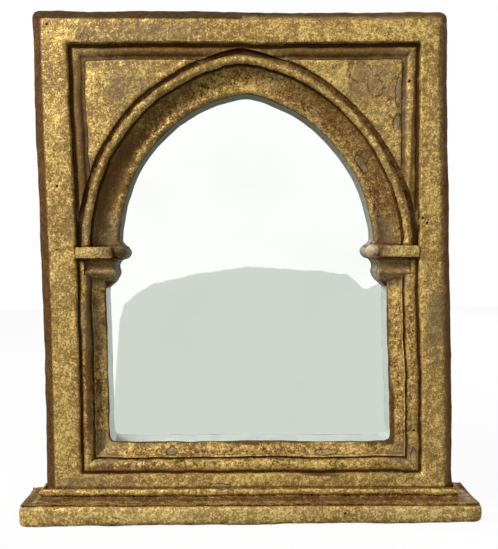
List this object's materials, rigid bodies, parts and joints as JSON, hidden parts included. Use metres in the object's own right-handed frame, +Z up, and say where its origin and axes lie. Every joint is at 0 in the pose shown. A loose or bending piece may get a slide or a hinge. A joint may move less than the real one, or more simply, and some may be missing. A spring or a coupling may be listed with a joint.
{
  "type": "arched mirror",
  "caption": "Gilt wooden standing mirror with a pointed arch over the glass, small capitals, stepped mouldings and a flared plinth, with hanging rings and turn buttons behind.",
  "frame": {"origin": "middle of the underside of the plinth, half way through the plinth's depth", "axes": "+Z up, +X to the right seen from the front, +Y from the front to the back"},
  "size_m": [0.2764, 0.0473, 0.308],
  "materials": {
    "gilded_wood": "worn gold leaf over red clay and gesso, dark umber on the outer edges",
    "back_wood": "bare aged softwood",
    "guard_card": "brown card, matt",
    "mirror": "silvered clear glass",
    "brass": "dull aged brass",
    "steel": "dark plain steel"
  },
  "bodies": {
    "frame": {"abacus_left": "gilded_wood", "abacus_right": "gilded_wood", "archivolt_left": "gilded_wood", "archivolt_right": "gilded_wood", "back_panel": "back_wood", "base_moulding_front": "gilded_wood", "base_moulding_left": "gilded_wood", "base_moulding_right": "gilded_wood", "capital_neck_left": "gilded_wood", "capital_neck_right": "gilded_wood", "guard_sheet": "guard_card", "hanger_screws": "brass", "hanger_strap_left": "brass", "hanger_strap_right": "brass", "hood_roll_left": "gilded_wood", "hood_roll_right": "gilded_wood", "jamb_bead_left": "gilded_wood", "jamb_bead_right": "gilded_wood", "jamb_cove_left": "gilded_wood", "jamb_cove_right": "gilded_wood", "mirror_glass": "mirror", "moulding_brads": "steel", "plinth": "gilded_wood", "plinth_screws": "steel", "rail_bottom": "gilded_wood", "rail_top": "gilded_wood", "sill_bead": "gilded_wood", "sill_cove": "gilded_wood", "spandrel_bead_side_left": "gilded_wood", "spandrel_bead_side_right": "gilded_wood", "spandrel_bead_top_left": "gilded_wood", "spandrel_bead_top_right": "gilded_wood", "spandrel_left": "gilded_wood", "spandrel_right": "gilded_wood", "stile_left": "gilded_wood", "stile_right": "gilded_wood", "turn_button_screws": "brass"},
    "turn_button_lower_left": {"turn_button_lower_left": "brass"},
    "turn_button_lower_right": {"turn_button_lower_right": "brass"},
    "turn_button_upper_left": {"turn_button_upper_left": "brass"},
    "turn_button_upper_right": {"turn_button_upper_right": "brass"},
    "hanger_ring_left": {"hanger_ring_left": "brass"},
    "hanger_ring_right": {"hanger_ring_right": "brass"}
  },
  "joints": [
    {"name": "turn_button_lower_left_pivot", "type": "hinge", "parent": "frame", "child": "turn_button_lower_left", "pos_m": [-0.1095, 0.01945, 0.07324], "axis": [0, 1, 0], "continuous": true},
    {"name": "turn_button_lower_right_pivot", "type": "hinge", "parent": "frame", "child": "turn_button_lower_right", "pos_m": [0.1095, 0.01945, 0.07324], "axis": [0, 1, 0], "continuous": true},
    {"name": "turn_button_upper_left_pivot", "type": "hinge", "parent": "frame", "child": "turn_button_upper_left", "pos_m": [-0.1095, 0.01945, 0.1893], "axis": [0, 1, 0], "continuous": true},
    {"name": "turn_button_upper_right_pivot", "type": "hinge", "parent": "frame", "child": "turn_button_upper_right", "pos_m": [0.1095, 0.01945, 0.1893], "axis": [0, 1, 0], "continuous": true},
    {"name": "hanger_ring_left_swing", "type": "hinge", "parent": "frame", "child": "hanger_ring_left", "pos_m": [-0.11375, 0.02115, 0.25635], "axis": [1, 0, 0], "range_deg": [0, 180]},
    {"name": "hanger_ring_right_swing", "type": "hinge", "parent": "frame", "child": "hanger_ring_right", "pos_m": [0.11375, 0.02115, 0.25635], "axis": [1, 0, 0], "range_deg": [0, 180]}
  ]
}
